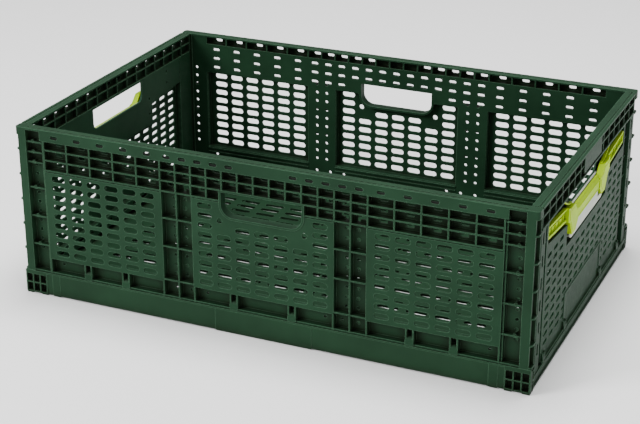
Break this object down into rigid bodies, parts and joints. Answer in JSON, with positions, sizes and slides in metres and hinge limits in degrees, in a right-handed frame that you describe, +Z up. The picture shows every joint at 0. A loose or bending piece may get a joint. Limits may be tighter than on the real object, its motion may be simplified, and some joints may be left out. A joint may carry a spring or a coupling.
{
  "type": "collapsible storage crate",
  "caption": "Open-top ventilated plastic crate whose end walls unlatch with a lift grip and fold flat onto the floor.",
  "frame": {"origin": "centre of the footprint, on the surface the crate stands on", "axes": "+X along the length to the right-hand end wall, +Y from the front wall to the back wall, +Z up"},
  "size_m": [0.6, 0.4, 0.202],
  "materials": {
    "green_pp": "satin moulded, dark green",
    "lime_pom": "smooth moulded, lime yellow-green",
    "grey_pp": "smooth moulded, light grey"
  },
  "bodies": {
    "base": {"base_tray": "green_pp"},
    "front_side": {"front_wall": "green_pp"},
    "back_side": {"back_wall": "green_pp"},
    "left_end": {"left_wall": "green_pp", "left_latch_plate": "grey_pp"},
    "right_end": {"right_wall": "green_pp", "right_latch_plate": "grey_pp"},
    "left_grip": {"left_latch": "lime_pom", "left_latch_springs": "lime_pom"},
    "right_grip": {"right_latch": "lime_pom", "right_latch_springs": "lime_pom"}
  },
  "joints": [
    {"name": "right_end_fold", "type": "hinge", "parent": "base", "child": "right_end", "pos_m": [0.2935, 0, 0.0203], "axis": [0, -1, 0], "range_deg": [0, 90]},
    {"name": "left_end_fold", "type": "hinge", "parent": "base", "child": "left_end", "pos_m": [-0.2935, 0, 0.0203], "axis": [0, 1, 0], "range_deg": [0, 90]},
    {"name": "front_side_fold", "type": "hinge", "parent": "base", "child": "front_side", "pos_m": [0, -0.1935, 0.0333], "axis": [-1, 0, 0], "range_deg": [0, 0.4]},
    {"name": "back_side_fold", "type": "hinge", "parent": "base", "child": "back_side", "pos_m": [0, 0.1935, 0.0333], "axis": [1, 0, 0], "range_deg": [0, 0.4]},
    {"name": "right_latch_lift", "type": "slide", "parent": "right_end", "child": "right_grip", "axis": [0, 0, 1], "range_m": [0, 0.008], "stiffness_N_per_m": 400, "springref_m": -0.004, "deforming": ["right_latch_springs"]},
    {"name": "left_latch_lift", "type": "slide", "parent": "left_end", "child": "left_grip", "axis": [0, 0, 1], "range_m": [0, 0.008], "stiffness_N_per_m": 400, "springref_m": -0.004, "deforming": ["left_latch_springs"]}
  ]
}
